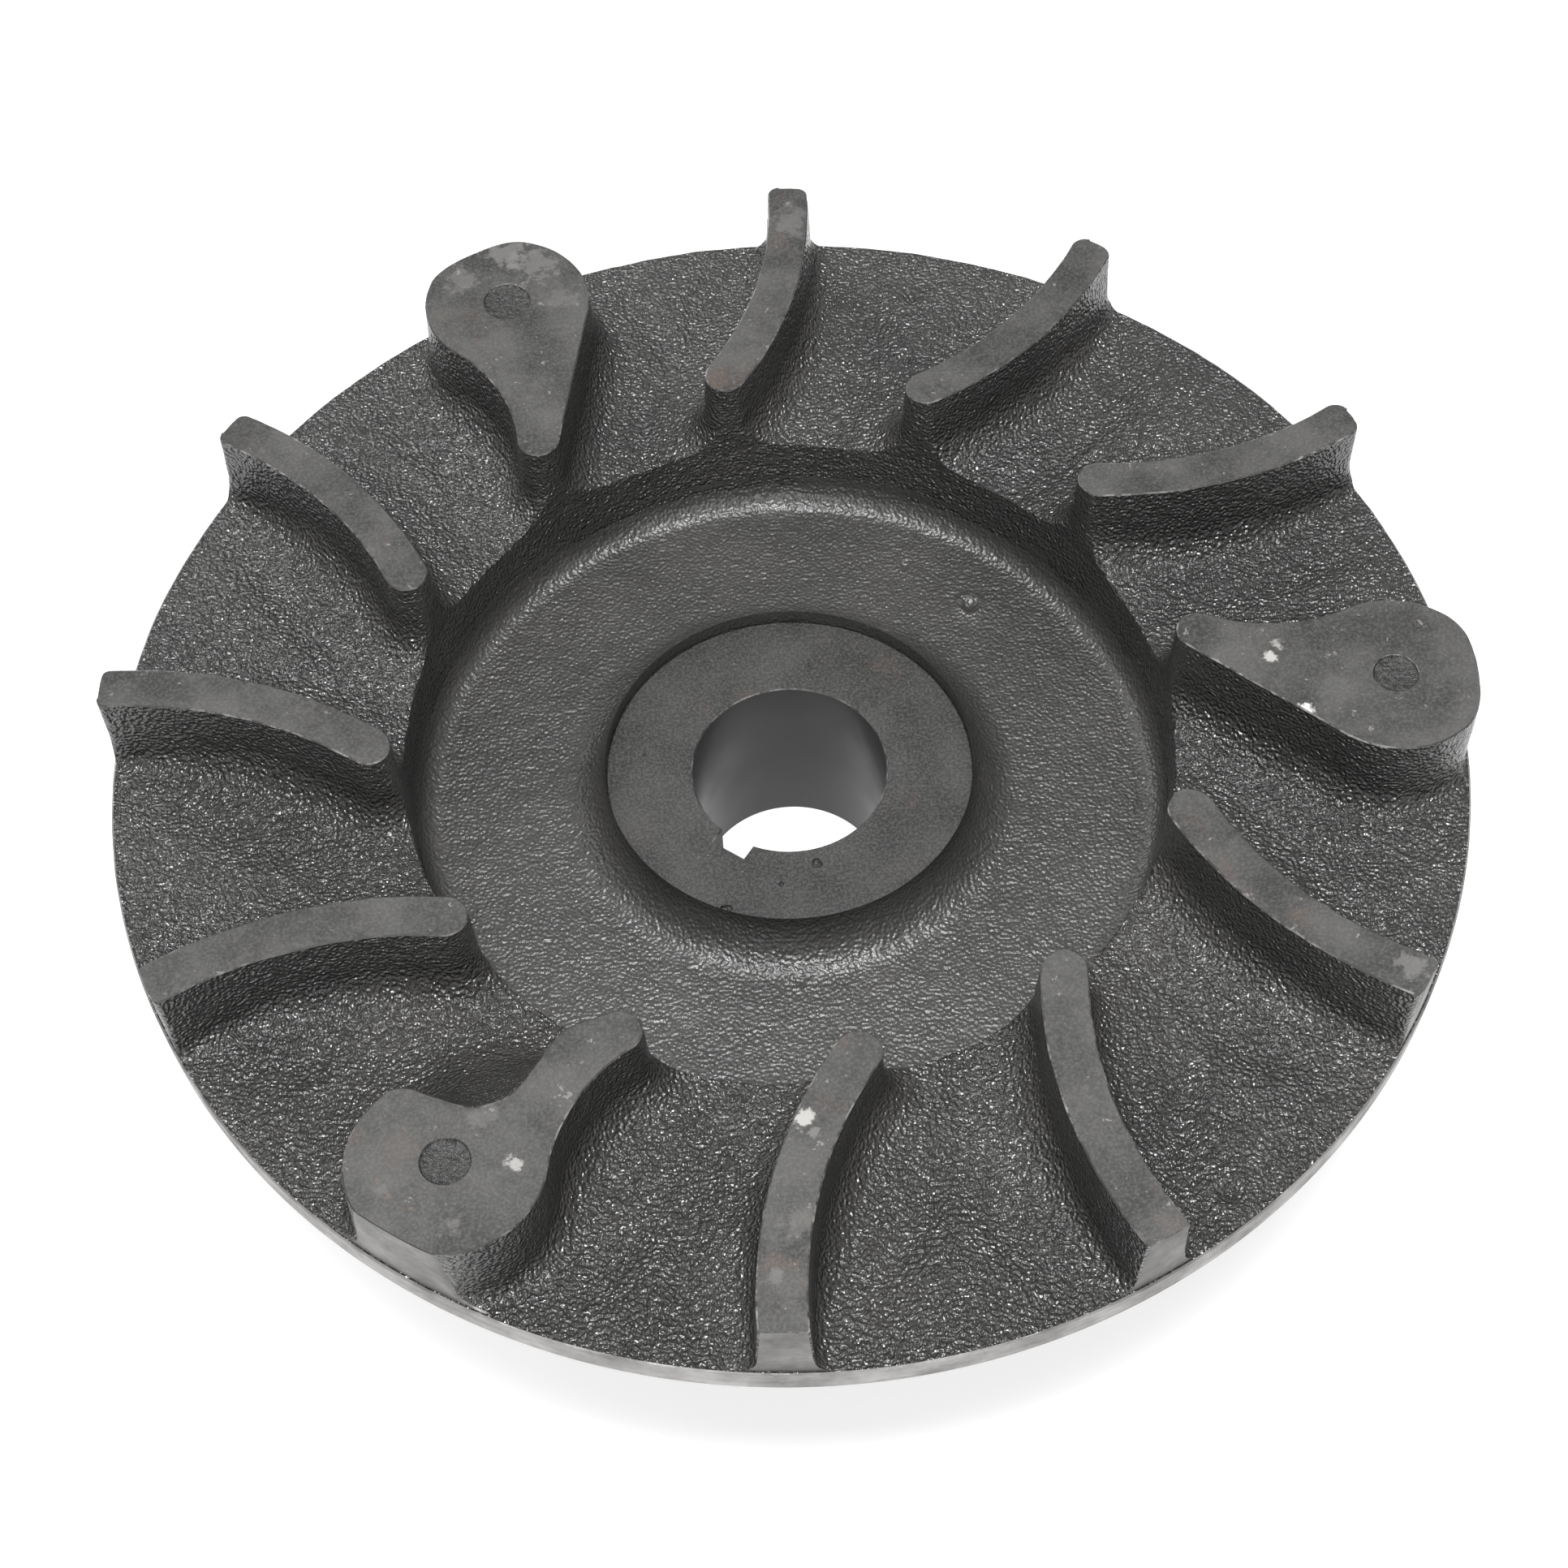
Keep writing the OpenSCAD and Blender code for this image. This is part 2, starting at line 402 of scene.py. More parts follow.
# ---------------------------------------------------------------- materials

def material(name):
    """A new empty material and the helper that fills it."""
    m = bpy.data.materials.new(name)
    m.use_nodes = True
    m.node_tree.nodes.clear()
    return m, Nodes(m.node_tree)


class Nodes:
    """Short calls that add shader nodes and join them up."""

    def __init__(self, tree):
        self.tree = tree
        self.coords = self.add("ShaderNodeTexCoord").outputs["Object"]

    def add(self, kind, **settings):
        node = self.tree.nodes.new(kind)
        for key, value in settings.items():
            setattr(node, key, value)
        return node

    def put(self, socket, value):
        if isinstance(value, bpy.types.NodeSocket):
            self.tree.links.new(value, socket)
        else:
            socket.default_value = value

    def noise(self, size, detail=2.0, rough=0.5, stretch=None):
        """Noise from 0 to 1 whose features are about size mm across, divided by stretch along x, y, z."""
        n = self.add("ShaderNodeTexNoise")
        where = self.coords
        if stretch is not None:
            scale = self.add("ShaderNodeVectorMath", operation="MULTIPLY")
            self.put(scale.inputs[0], where)
            scale.inputs[1].default_value = stretch
            where = scale.outputs[0]
        self.put(n.inputs["Vector"], where)
        n.inputs["Scale"].default_value = 0.6 / (size * MM)
        n.inputs["Detail"].default_value = detail
        n.inputs["Roughness"].default_value = rough
        return n.outputs["Fac"]

    def cells(self, size):
        """Distance to the nearest of scattered points about size mm apart, in shares of size."""
        n = self.add("ShaderNodeTexVoronoi", feature="F1")
        self.put(n.inputs["Vector"], self.coords)
        n.inputs["Scale"].default_value = 1 / (size * MM)
        n.inputs["Randomness"].default_value = 1.0
        return n.outputs["Distance"]

    def math(self, operation, a, b=0.0, c=0.0):
        n = self.add("ShaderNodeMath", operation=operation)
        for socket, v in zip(n.inputs, (a, b, c)):
            self.put(socket, v)
        return n.outputs[0]

    def span(self, value, low, high, out_low=0.0, out_high=1.0):
        """value from low to high, stretched to out_low to out_high and clamped."""
        n = self.add("ShaderNodeMapRange", clamp=True)
        for socket, v in zip(n.inputs, (value, low, high, out_low, out_high)):
            self.put(socket, v)
        return n.outputs[0]

    def mix(self, share, a, b):
        """The colour a, changed to b by share."""
        n = self.add("ShaderNodeMix", data_type="RGBA")
        self.put(n.inputs[0], share)
        for socket, v in ((n.inputs[6], a), (n.inputs[7], b)):
            self.put(socket, v if isinstance(v, bpy.types.NodeSocket) else (*v, 1.0))
        return n.outputs[2]

    def near(self, centre, radius):
        """1 at a point given in mm, breaking up and falling to 0 about radius away."""
        d = self.add("ShaderNodeVectorMath", operation="DISTANCE")
        self.put(d.inputs[0], self.coords)
        d.inputs[1].default_value = [c * MM for c in centre]
        fall = self.span(d.outputs["Value"], 0.0, 1.25 * radius * MM, 0.95, 0.0)
        patch = self.math("MULTIPLY_ADD", self.noise(1.1, 5, 0.72), 2.4, -1.2)
        return self.span(self.math("ADD", fall, patch), 0.38, 0.62)

    def bump(self, height, depth, under=None):
        """A normal from a height of 0 to 1 that is depth mm deep, on top of the normal under."""
        n = self.add("ShaderNodeBump")
        n.inputs["Strength"].default_value = 1.0
        n.inputs["Distance"].default_value = depth * MM
        self.put(n.inputs["Height"], height)
        if under is not None:
            self.put(n.inputs["Normal"], under)
        return n.outputs["Normal"]

    def surface(self, color, roughness, normal=None, metallic=0.0, specular=0.5):
        p = self.add("ShaderNodeBsdfPrincipled")
        self.put(p.inputs["Base Color"], color if isinstance(color, bpy.types.NodeSocket) else (*color, 1.0))
        self.put(p.inputs["Roughness"], roughness)
        self.put(p.inputs["Metallic"], metallic)
        p.inputs["Specular IOR Level"].default_value = specular
        if normal is not None:
            self.put(p.inputs["Normal"], normal)
        out = self.add("ShaderNodeOutputMaterial")
        self.put(out.inputs["Surface"], p.outputs[0])
        return p


def make_cast_black(name, depth, smoothest, roughest):
    """Black paint over sand-cast iron: a tight grain depth mm deep, scattered pits and a little dust."""
    m, n = material(name)
    grain = n.noise(0.28, 0.6, 0.4)
    lumps = n.noise(1.0, 1, 0.4)
    pits = n.span(n.cells(3.1), 0.0, 0.13, 1.0, 0.0)
    height = n.math("MULTIPLY_ADD", grain, 1.0, n.math("MULTIPLY", lumps, 0.4))
    height = n.math("SUBTRACT", height, n.math("MULTIPLY", pits, 0.35))
    tint = n.mix(n.span(n.noise(14, 3), 0.4, 0.7), (0.026, 0.0255, 0.0248), (0.040, 0.0387, 0.0373))
    dust = n.math("MULTIPLY", n.span(n.noise(0.5, 2), 0.64, 0.76), n.span(n.noise(6, 2), 0.42, 0.62))
    color = n.mix(n.math("MULTIPLY", dust, 0.35), tint, (0.14, 0.135, 0.13))
    rough = n.span(n.noise(1.2, 3), 0.3, 0.7, smoothest, roughest)
    n.surface(color, rough, n.bump(height, depth), specular=0.7)
    return m


def make_turned_black(name, tone, marks):
    """The flat turned faces: matt and mottled, with dust, a breath of rust and some marks by hand,
    each as (place, radius, share, colour)."""
    m, n = material(name)
    mottle = n.noise(6, 5, 0.62)
    dark = [c * tone for c in (0.018, 0.0176, 0.0172)]
    pale = [c * tone for c in (0.056, 0.055, 0.0535)]
    tint = n.mix(n.span(mottle, 0.38, 0.62), dark, pale)
    speckle = n.span(n.noise(0.22, 2, 0.6), 0.42, 0.66)
    tint = n.mix(n.math("MULTIPLY", speckle, 0.4), tint, (0.11, 0.108, 0.105))
    rust = n.math("MULTIPLY", n.span(n.noise(4, 4, 0.65), 0.56, 0.74), n.span(n.noise(18, 1), 0.45, 0.6))
    color = n.mix(n.math("MULTIPLY", rust, 0.35), tint, (0.12, 0.075, 0.055))
    specks = n.span(n.cells(1.7), 0.05, 0.09, 1.0, 0.0)
    specks = n.math("MULTIPLY", specks, n.span(n.noise(9, 2), 0.45, 0.6))
    color = n.mix(n.math("MULTIPLY", specks, 0.5), color, (0.22, 0.21, 0.20))
    for centre, radius, share, paint in marks:
        color = n.mix(n.math("MULTIPLY", n.near(centre, radius), share), color, paint)
    rough = n.span(mottle, 0.3, 0.7, 0.44, 0.58)
    n.surface(color, rough, n.bump(n.noise(0.3, 2, 0.5), 0.02), specular=0.5)
    return m


def make_bare_turned(name, tone):
    """Bare turned metal: fine tool lines round the axis, stained and dull in patches."""
    m, n = material(name)
    bright = [c * tone for c in (0.30, 0.291, 0.283)]
    dull = [c * tone for c in (0.11, 0.107, 0.103)]
    lines = n.noise(0.9, 3, 0.6, stretch=(0.05, 0.05, 4.0))
    stain = n.noise(4, 4, 0.65)
    color = n.mix(n.span(stain, 0.35, 0.7), bright, dull)
    color = n.mix(n.span(n.noise(9, 3, 0.6), 0.55, 0.75, 0.0, 0.4), color, (0.09, 0.072, 0.06))
    color = n.mix(n.span(lines, 0.45, 0.7, 0.0, 0.4), color, (0.05, 0.048, 0.046))
    rough = n.span(stain, 0.3, 0.7, 0.36, 0.54)
    n.surface(color, rough, n.bump(n.noise(0.5, 3, 0.6), 0.05, under=n.bump(lines, 0.03)), metallic=0.3)
    return m


def make_worn_highlit_edge():
    """Edges of the tops and of small chamfers, pale in places: partly the black rubbed through, partly a
    painted highlight where the edges catch the light.
    """
    m, n = material("worn_highlit_edge_iron")
    wear_and_highlight = n.math("MULTIPLY", n.span(n.noise(1.1, 4, 0.7), 0.45, 0.65), n.span(n.noise(8, 2), 0.4, 0.62))
    # The pale colour is partly bare iron and partly a painted highlight along the edge.
    color = n.mix(wear_and_highlight, (0.03, 0.029, 0.028), (0.24, 0.235, 0.23))
    n.surface(color, 0.45, n.bump(n.noise(0.4, 2), 0.1))
    return m


def make_spot():
    """The drill spots: dark and rough at the bottom."""
    m, n = material("drilled_iron")
    grain = n.noise(0.35, 3, 0.6)
    color = n.mix(n.span(grain, 0.35, 0.65), (0.010, 0.010, 0.0098), (0.042, 0.041, 0.04))
    n.surface(color, 0.4, n.bump(grain, 0.4), specular=0.5)
    return m


def make_bore():
    """The reamed bore and keyway: smooth, dark and slightly glossy."""
    m, n = material("bore_iron")
    lines = n.noise(1.1, 2, 0.5, stretch=(0.2, 0.2, 6.0))
    color = n.mix(n.span(n.noise(6, 2), 0.3, 0.7), (0.014, 0.0137, 0.0134), (0.024, 0.0233, 0.0226))
    n.surface(color, n.span(n.noise(3, 2), 0.3, 0.7, 0.30, 0.40), n.bump(lines, 0.006), specular=0.3)
    return m


def make_steel(name, light, dark, rough):
    """Ground or plated steel with fine lines across the axis."""
    m, n = material(name)
    lines = n.noise(0.7, 3, 0.6, stretch=(1.0, 1.0, 5.0))
    color = n.mix(n.span(n.noise(3, 3), 0.35, 0.7), light, dark)
    n.surface(color, n.span(n.noise(2, 2), 0.3, 0.7, rough - 0.07, rough + 0.07),
              n.bump(lines, 0.02), metallic=0.9)
    return m


CHALK = (0.55, 0.535, 0.51)
GREY = (0.15, 0.146, 0.141)
RUST = (0.13, 0.085, 0.06)
TOP_MARKS = [
    ((63.0, -7.2, 49.2), 1.6, 1.0, CHALK), ((61.0, -6.3, 49.2), 1.1, 0.9, CHALK),
    ((60.0, 1.0, 49.0), 1.5, 0.6, CHALK), ((61.5, 2.6, 49.0), 1.2, 0.4, CHALK),
    ((0.2, -60.0, 48.9), 1.5, 0.6, CHALK), ((1.2, -61.6, 48.9), 1.0, 0.15, CHALK),
    ((-37.0, 74.5, 49.8), 4.0, 0.6, GREY), ((-33.0, 72.5, 49.6), 4.5, 0.5, GREY),
    ((-43.0, 69.5, 49.6), 3.0, 0.4, GREY), ((-29.0, 66.0, 49.6), 3.0, 0.3, GREY),
    ((-32.0, -64.3, 49.3), 1.3, 0.45, CHALK),
    ((-38.5, -72.0, 49.3), 1.6, 0.4, GREY), ((-36.0, -58.0, 49.3), 3.0, 0.35, GREY),
    ((70.0, -44.0, 49.6), 2.6, 0.6, GREY), ((60.0, -31.0, 49.3), 2.5, 0.3, GREY),
    ((-45.5, -68.0, 49.5), 0.6, 0.5, RUST), ((-43.0, -69.5, 49.5), 0.5, 0.5, RUST),
    ((-46.8, -66.0, 49.5), 0.5, 0.4, RUST), ((-46.5, -67.4, 49.5), 1.2, 0.3, GREY),
    ((-3.0, -77.0, 49.7), 2.2, 0.2, RUST),
    ((-1.2, -72.5, 49.6), 2.6, 0.3, GREY), ((-3.4, -79.0, 49.7), 1.6, 0.4, GREY),
    ((3.0, 79.0, 49.7), 4.0, 0.35, GREY), ((36.0, 76.0, 49.7), 4.0, 0.45, GREY),
    ((34.0, 66.5, 49.4), 1.4, 0.4, GREY), ((-66.0, 47.0, 49.6), 4.0, 0.3, GREY),
    ((-49.5, 46.0, 49.2), 1.2, 0.3, GREY), ((-80.0, 12.0, 49.6), 3.0, 0.3, GREY)]

CAST = make_cast_black("cast_black_iron", 0.58, 0.14, 0.25)
CAST_WEB = make_cast_black("cast_black_web", 0.22, 0.32, 0.44)
TURNED = make_turned_black("turned_black_iron", 1.0, TOP_MARKS)
TURNED_HUB = make_turned_black("turned_black_hub", 0.45, [])
BARE = make_bare_turned("bare_turned_iron", 1.0)
# The turned ends of vanes and bosses: the rim's bare metal at half its tone, as painted shade.
SHADED_BARE_END = make_bare_turned("shaded_bare_end_iron", 0.5)
# Edge material: rubbed-through wear and a painted highlight along the edges.
EDGE_WEAR_AND_HIGHLIGHT = make_worn_highlit_edge()
SPOT = make_spot()
BORE = make_bore()
MAGNET = make_steel("magnet_alloy", (0.22, 0.21, 0.20), (0.12, 0.115, 0.11), 0.5)
POLE = make_steel("pole_steel", (0.40, 0.39, 0.38), (0.24, 0.23, 0.22), 0.38)
SCREW = make_steel("screw_steel", (0.50, 0.50, 0.51), (0.34, 0.33, 0.32), 0.32)


# ---------------------------------------------------------------- vanes and bosses

# The faces of a tube_piece() and of the hub: their places in the list of materials.
# The fourth kind is the edge material: wear and a painted highlight.
SKIN, TOP, CUT, WORN_AND_HIGHLIT, DRILLED = range(5)
EDGE = 0.18
EDGE_DROP = 0.8 * EDGE
SKIRT = 1.3
WALL_ROWS = 15
FILLET_ROWS = 9
STEP = 0.55
RIM_CROWDING = 1.3
ACROSS_VANE = 10
ACROSS_BOSS = 24
EDGE_GAP = 0.45


def smooth_max(a, b, k):
    """The larger of a and b, rounded off where they are within k of each other."""
    h = np.clip(0.5 + 0.5 * (a - b) / k, 0, 1)
    return b + (a - b) * h + k * h * (1 - h)


def wall_profile(height, fillet):
    """Offset, height above the deck and outward lean of each row, top edge to foot, per column."""
    rows = [(np.full_like(height, -EDGE), height, np.zeros_like(height))]
    reach = (height - fillet + fillet * math.sin(DRAFT)) * math.tan(DRAFT) + fillet * math.cos(DRAFT)
    top, bottom = height - EDGE_DROP, fillet * (1 - math.sin(DRAFT))
    for s in np.linspace(0, 1, WALL_ROWS, endpoint=False):
        h = top + (bottom - top) * s
        rows.append(((height - h) * math.tan(DRAFT), h, np.zeros_like(h)))
    for s in np.linspace(0, 1, FILLET_ROWS + 1):
        a = DRAFT + (math.pi / 2 - DRAFT) * s
        rows.append((reach - fillet * math.cos(a), fillet * (1 - math.sin(a)), np.full_like(height, a)))
    return [np.array(x) for x in zip(*rows)]


STEM_LINE = boss_outline()[3].length()


def scoop(along, up):
    """How far the unfilled boss's wall lies inside its place, at shares up of its height."""
    slope = up ** 1.6 - 0.6 * (1 - up) ** 2
    return SCOOP_DEPTH * ramp(along, *SCOOP_RISE) * (1 - ramp(along, *SCOOP_FALL)) * slope


def outline_columns(segments, tip_round=0.0, tip_limit=0.0, scooped=False):
    """The wall below some segments of an outline, as rows by columns: places, outward normals and
    whether they lie on the recess wall. tip_round rounds the corners beside a turned end, and tip_limit
    blends an uncut tip into the wheel's edge."""
    parts = []
    for seg in segments:
        n = max(4, int(math.ceil(seg.length() / STEP)))
        u = np.arange(n + 1) / n
        ends_at_rim = seg.rim is not None and seg.rim[0] == "end"
        if ends_at_rim:
            u = 1 - (1 - u) ** RIM_CROWDING
        elif seg.rim is not None:
            u = u ** RIM_CROWDING
        base, _ = seg.at(u, np.zeros_like(u))
        r0 = np.hypot(base[:, 0], base[:, 1])
        height = top_z(r0) - deck_z(r0)
        d, h, lean = wall_profile(height, foot_radius(r0))
        rows = len(d)
        p = np.zeros((rows, n + 1, 2))
        normal = np.zeros((rows, n + 1, 2))
        for i in range(rows):
            p[i], normal[i] = seg.at(u, d[i])
        r = np.hypot(p[..., 0], p[..., 1])
        if tip_round > 0:
            inside = np.clip(VANE_END_R - r, 0, tip_round)
            pull = tip_round - np.sqrt(tip_round ** 2 - (tip_round - inside) ** 2)
            fade = np.clip((h - 1.5) / 3, 0, 1)
            p -= normal * (pull * fade)[..., None]
            r = np.hypot(p[..., 0], p[..., 1])
        if tip_limit > 0:
            p *= (-smooth_max(-r, np.full_like(r, -VANE_END_R), tip_limit) / r)[..., None]
            r = np.hypot(p[..., 0], p[..., 1])
        if scooped and (isinstance(seg, Line) or ends_at_rim):
            start = 0.0 if isinstance(seg, Line) else STEM_LINE
            p -= normal * scoop(start + u * seg.length(), np.clip(h / height, 0, 1))[..., None]
            r = np.hypot(p[..., 0], p[..., 1])
        snapped = smooth_max(r, DECK_IN_R - 0.02, 0.5)
        p *= (snapped / r)[..., None]
        z = deck_z(snapped) + h * (top_z(snapped) - deck_z(snapped)) / height
        xyz = np.concatenate([p, z[..., None]], -1)
        out = np.concatenate([normal * np.cos(lean)[..., None], np.sin(lean)[..., None]], -1)
        parts.append((xyz, out, snapped < DECK_IN_R + 0.1))
    xyz = np.concatenate([q[0] for q in parts], 1)
    out = np.concatenate([q[1] for q in parts], 1)
    on_wall = np.concatenate([q[2] for q in parts], 1)
    keep = np.ones(xyz.shape[1], bool)
    keep[1:] = np.hypot(*(xyz[1, 1:, :2] - xyz[1, :-1, :2]).T) > 1e-6
    return xyz[:, keep], out[:, keep], on_wall[:, keep]


def roughen(xyz, out, on_wall, turn):
    """Turns columns to their place on the wheel, adds the cast relief and a hidden skirt."""
    c, s = math.cos(turn), math.sin(turn)
    spin = np.array([[c, s, 0], [-s, c, 0], [0, 0, 1]])
    xyz, out = xyz @ spin, out @ spin
    shape = xyz.shape[:2]
    relief = cast_relief(xyz.reshape(-1, 3)).reshape(shape)
    relief[0] = relief[1]
    tops = xyz[:2, :, 2].copy()
    xyz = xyz + out * relief[..., None]
    xyz[:2, :, 2] = tops
    skirt = xyz[-1:].copy()
    skirt[..., 2] -= SKIRT
    away = np.where(on_wall[-1:, :, None], 1.012, 1.0)
    skirt[..., :2] *= away
    return np.concatenate([xyz, skirt], 0)


def end_face(first, last, count):
    """Columns across the turned outer end, between two columns of rows by xyz."""
    a0, a1 = np.arctan2(first[:, 1], first[:, 0]), np.arctan2(last[:, 1], last[:, 0])
    a1 = a0 + (a1 - a0 + math.pi) % (2 * math.pi) - math.pi
    t = np.arange(1, count) / count
    a = a0[:, None] + (a1 - a0)[:, None] * t
    gap0 = (VANE_END_R - np.hypot(first[:, 0], first[:, 1]))[:, None]
    gap1 = (VANE_END_R - np.hypot(last[:, 0], last[:, 1]))[:, None]
    r = VANE_END_R - gap0 * np.clip(1 - 4 * t, 0, 1) ** 2 - gap1 * np.clip(4 * t - 3, 0, 1) ** 2
    r[0] -= 0.6 * EDGE
    z = first[:, None, 2] + (last[:, None, 2] - first[:, None, 2]) * t
    z[:2] = top_z(r[:2])
    z[1] -= EDGE_DROP
    return np.stack([r * np.cos(a), r * np.sin(a), z], -1)


def seam_columns(first, last, count):
    """Columns straight across the neck, where the stem meets the boss."""
    t = (np.arange(1, count) / count)[:, None]
    xy = first[0, :2] + (last[0, :2] - first[0, :2]) * t
    z = first[:, None, 2] + (last[:, None, 2] - first[:, None, 2]) * t[:, 0]
    z[:2] = top_z(np.hypot(xy[:, 0], xy[:, 1]))
    z[1] -= EDGE_DROP
    return np.concatenate([np.broadcast_to(xy, (len(z), count - 1, 2)), z[..., None]], -1)


def fill_top(loop, holes, step):
    """Points and triangles over a closed loop of xy points round some holes, with points inside it
    that are a step apart."""
    points = [loop, *holes]
    edges, n = [], 0
    for ring in points:
        edges += [(n + i, n + (i + 1) % len(ring)) for i in range(len(ring))]
        n += len(ring)
    lo, hi = loop.min(0), loop.max(0)
    gx, gy = np.meshgrid(np.arange(lo[0], hi[0], step), np.arange(lo[1], hi[1], step))
    inner = np.column_stack([gx.ravel(), gy.ravel()])
    inner = inner[inside(inner, loop, EDGE_GAP)]
    for hole in holes:
        inner = inner[~inside(inner, hole, -EDGE_GAP)]
    every = np.vstack(points + [inner])
    out = delaunay_2d_cdt([Vector(p) for p in every], edges, [], 1, 1e-7)
    source = [ids[0] for ids in out[3]]
    faces = [[source[v] for v in f] for f in out[2]]
    middles = np.array([every[f].mean(0) for f in faces])
    keep = np.ones(len(faces), bool)
    for hole in holes:
        keep &= ~inside(middles, hole, 0.0)
    return every, [f for f, ok in zip(faces, keep) if ok]


def inside(points, loop, margin):
    """Which points lie inside a loop, at least margin from its edges, or no further outside than
    -margin."""
    x, y = points[:, 0], points[:, 1]
    x0, y0 = loop[:, 0], loop[:, 1]
    x1, y1 = np.roll(x0, -1), np.roll(y0, -1)
    crossings = np.zeros(len(points), int)
    near = np.full(len(points), 1e9)
    for a, b, c, d in zip(x0, y0, x1, y1):
        hit = ((b > y) != (d > y)) & (x < (c - a) * (y - b) / (d - b + 1e-12) + a)
        crossings += hit
        t = np.clip(((x - a) * (c - a) + (y - b) * (d - b)) / ((c - a) ** 2 + (d - b) ** 2 + 1e-12), 0, 1)
        near = np.minimum(near, np.hypot(x - a - t * (c - a), y - b - t * (d - b)))
    if margin < 0:
        return (crossings % 2 == 1) | (near < -margin)
    return (crossings % 2 == 1) & (near > margin)


def dish(centre, radius, surface, depth, ragged=0.0):
    """Rings of a shallow hollow in a turned face, from its edge to its rough floor."""
    count = 60 if radius > 2 else 20
    a = np.arange(count) * 2 * math.pi / count
    wobble = 1 + ragged * noise(np.column_stack([centre + 2 * unit(a), a * 0 + radius]), 1.3, 21)
    rings = []
    for share, down in ((1.0, 0.0), (0.97, 0.2), (0.92, 0.6), (0.8, 0.75), (0.6, 0.83), (0.4, 0.92),
                        (0.2, 1.0), (0.07, 1.02)):
        xy = centre + (radius * share * wobble)[:, None] * unit(a)
        z = surface(np.hypot(xy[:, 0], xy[:, 1])) - depth * down
        if down > 0.5:
            z = z + 0.12 * depth * noise(np.column_stack([xy, z]), 0.5, 9)
        rings.append(np.column_stack([xy, z]))
    return rings


def cover(loops, loop_ids, surface, hollows, total, step=1.2):
    """A turned face within the first loop of vertices and round the others, with hollows in it: new
    vertices, faces and materials. total is the number of vertices so far."""
    rims = [hollow[0][:, :2] for hollow in hollows]
    every, faces = fill_top(loops[0], [*loops[1:], *rims], step)
    at = len(loop_ids)
    extra = every[at:]
    verts = [np.column_stack([extra, surface(np.hypot(extra[:, 0], extra[:, 1]))])]
    index = np.concatenate([loop_ids, total + np.arange(len(extra))])
    faces = index[np.array(faces)].tolist()
    kinds = [TOP] * len(faces)
    total += len(extra)
    for hollow in hollows:
        m = len(hollow[0])
        ring = index[at:at + m]
        at += m
        for depth, points in enumerate(hollow[1:]):
            verts.append(points)
            new = total + np.arange(m)
            faces += np.stack([ring, np.roll(ring, -1), np.roll(new, -1), new], -1).tolist()
            kinds += [WORN_AND_HIGHLIT if depth == 0 else DRILLED] * m
            ring, total = new, total + m
        faces.append(ring.tolist())
        kinds.append(DRILLED)
    return np.vstack(verts), faces, kinds


def tube_piece(name, columns, kinds, node, hollows=()):
    """A closed piece from a ring of columns: walls, a turned top and a hidden floor.
    kinds gives each column's wall material, SKIN or CUT."""
    rows, count = columns.shape[:2]
    wall = np.tile(kinds, rows - 1)
    # The top edge row takes the edge material: wear and a painted highlight.
    wall[:count] = WORN_AND_HIGHLIT
    extra, top, top_kinds = cover([columns[0, :, :2]], np.arange(count), top_z, hollows, rows * count)
    floor = [(rows - 1) * count + i for i in range(count)]
    faces = grid_faces(rows, count) + top + [floor]
    face_material = list(wall) + top_kinds + [SKIN]
    verts = np.vstack([columns.reshape(-1, 3), extra])
    # Turned ends take the darker copy of the bare metal, painted shade.
    obj = mesh_object(name, verts, faces, [CAST, TURNED, SHADED_BARE_END, EDGE_WEAR_AND_HIGHLIGHT, SPOT], face_material)
    face_outwards(obj)
    finish_piece(obj, "cast_black_iron", node)


def make_vane(k):
    """A plain vane, cut off square at the wheel's turned edge."""
    sides = roughen(*outline_columns(plain_outline(), TIP_ROUND[k]), vane_angle(k))
    face = end_face(sides[:, -1], sides[:, 0], ACROSS_VANE)
    columns = np.concatenate([sides, face], 1)
    kinds = np.array([SKIN] * (sides.shape[1] - 1) + [CUT] * (face.shape[1] + 1))
    tube_piece(f"cast_vane_{k + 1}", columns, kinds, f"vane_{k + 1}")


def make_boss(b):
    """A boss and the stem that runs into it, as two pieces that share their seam."""
    k = b * BOSS_EVERY + BOSS_EVERY - 1
    turn = vane_angle(k)
    limit, scooped = BOSS_TIP_LIMIT[b], b == SCOOPED_BOSS
    outer_1, neck, cap, line, outer_2 = boss_outline(limit == 0)
    first = roughen(*outline_columns([outer_1], tip_limit=limit), turn)
    stem = roughen(*outline_columns([neck, cap, line], scooped=scooped), turn)
    second = roughen(*outline_columns([outer_2], tip_limit=limit, scooped=scooped), turn)
    seam = seam_columns(first[:, -1], second[:, 0], ACROSS_BOSS)
    if limit == 0:
        face = end_face(second[:, -1], first[:, 0], ACROSS_BOSS)
        columns = np.concatenate([first, seam, second, face], 1)
    else:
        columns = np.concatenate([first, seam, second[:, :-1]], 1)
    middle = columns[WALL_ROWS // 2]
    kinds = np.where(np.hypot(middle[:, 0], middle[:, 1]) > VANE_END_R - 0.12, CUT, SKIN)
    c, s = math.cos(turn), math.sin(turn)
    centre = BOSS_CENTRE @ np.array([[c, s], [-s, c]])
    spot = dish(centre, SPOT_R[b], top_z, SPOT_DEPTH)
    tube_piece(f"cast_boss_{b + 1}", columns, kinds, f"boss_{b + 1}", [spot])
    columns = np.concatenate([stem, seam[:, ::-1]], 1)
    kinds = np.full(columns.shape[1], SKIN)
    tube_piece(f"cast_stem_{b + 1}", columns, kinds, f"vane_{k + 1}")


# ---------------------------------------------------------------- deck, rim, web, ring and hub

